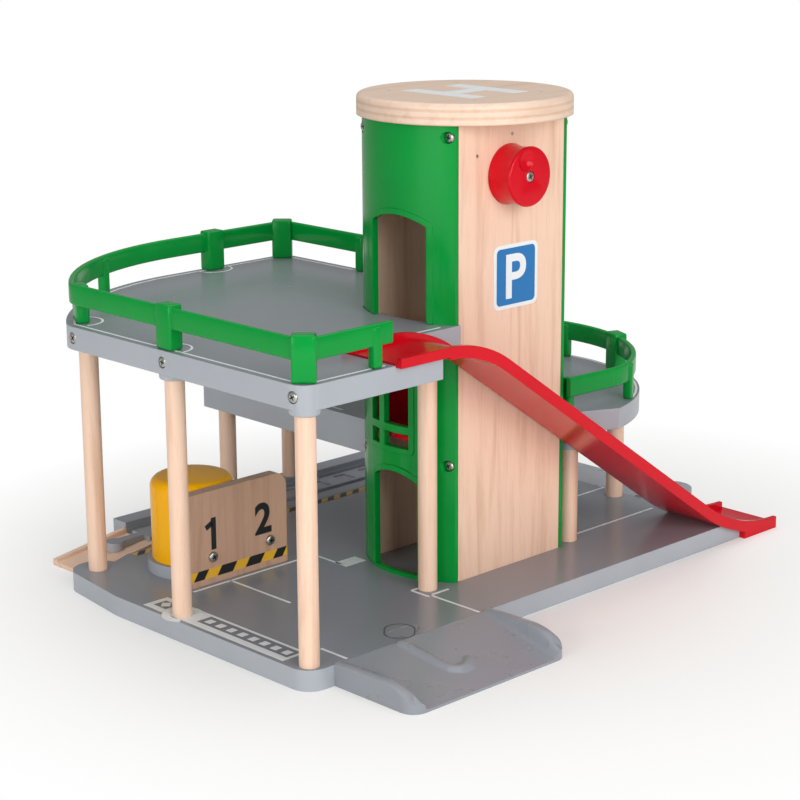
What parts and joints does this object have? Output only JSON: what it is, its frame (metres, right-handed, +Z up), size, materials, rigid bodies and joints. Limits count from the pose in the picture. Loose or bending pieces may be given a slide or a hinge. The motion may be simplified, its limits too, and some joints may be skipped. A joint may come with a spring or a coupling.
{
  "type": "toy parking garage with lift",
  "caption": "Toy parking garage with two decks on dowels, a lift tower with a crank knob, a curved car slide, fences, road ramps and a railway connection.",
  "frame": {"origin": "on the floor, at the axis of the lift tower", "axes": "+X along the front edge to the right, +Y into the depth, +Z up; the knob faces -Y"},
  "size_m": [0.451, 0.3615, 0.3136],
  "materials": {
    "grey_plastic": "moulded, satin",
    "green_plastic": "moulded, glossy",
    "red_plastic": "moulded, glossy",
    "yellow_plastic": "moulded, glossy",
    "beech": "sanded beech, clear lacquer",
    "steel": "zinc-plated"
  },
  "bodies": {
    "garage": {"base_board": "grey_plastic", "rail_section": "grey_plastic", "road_ramp_front": "grey_plastic", "road_ramp_side": "grey_plastic", "kiosk_plinth": "grey_plastic", "upper_deck": "grey_plastic", "mid_deck": "grey_plastic", "kiosk_drum": "yellow_plastic", "upper_fence": "green_plastic", "side_fence": "green_plastic", "tower_left_panel": "green_plastic", "tower_right_panel": "green_plastic", "car_slide": "red_plastic", "bay_board": "beech", "adapter_track": "beech", "tower_front_plate": "beech", "tower_back_plate": "beech", "roof_disc": "beech", "post_front_left": "beech", "post_left_mid": "beech", "post_left_back": "beech", "post_tower_side": "beech", "post_rear_left": "beech", "post_rear_mid": "beech", "post_right_front": "beech", "post_right_back": "beech", "bay_board_screws": "steel", "deck_screws": "steel", "left_panel_screws": "steel", "right_panel_screws": "steel", "roof_pins": "steel"},
    "lift": {"lift_cage": "red_plastic"},
    "winch": {"winding_shaft": "steel", "knob": "red_plastic", "knob_screw": "steel"}
  },
  "joints": [
    {"name": "lift_travel", "type": "slide", "parent": "garage", "child": "lift", "axis": [0, 0, 1], "range_m": [-0.0868, 0.0756]},
    {"name": "knob_turn", "type": "hinge", "parent": "garage", "child": "winch", "pos_m": [-0.003, 0, 0.2665], "axis": [0, -1, 0], "range_deg": [-1662, 1448]}
  ],
  "couplings": [
    {"joint": "knob_turn", "follows": "lift_travel", "rad_per_m": 333.33}
  ]
}
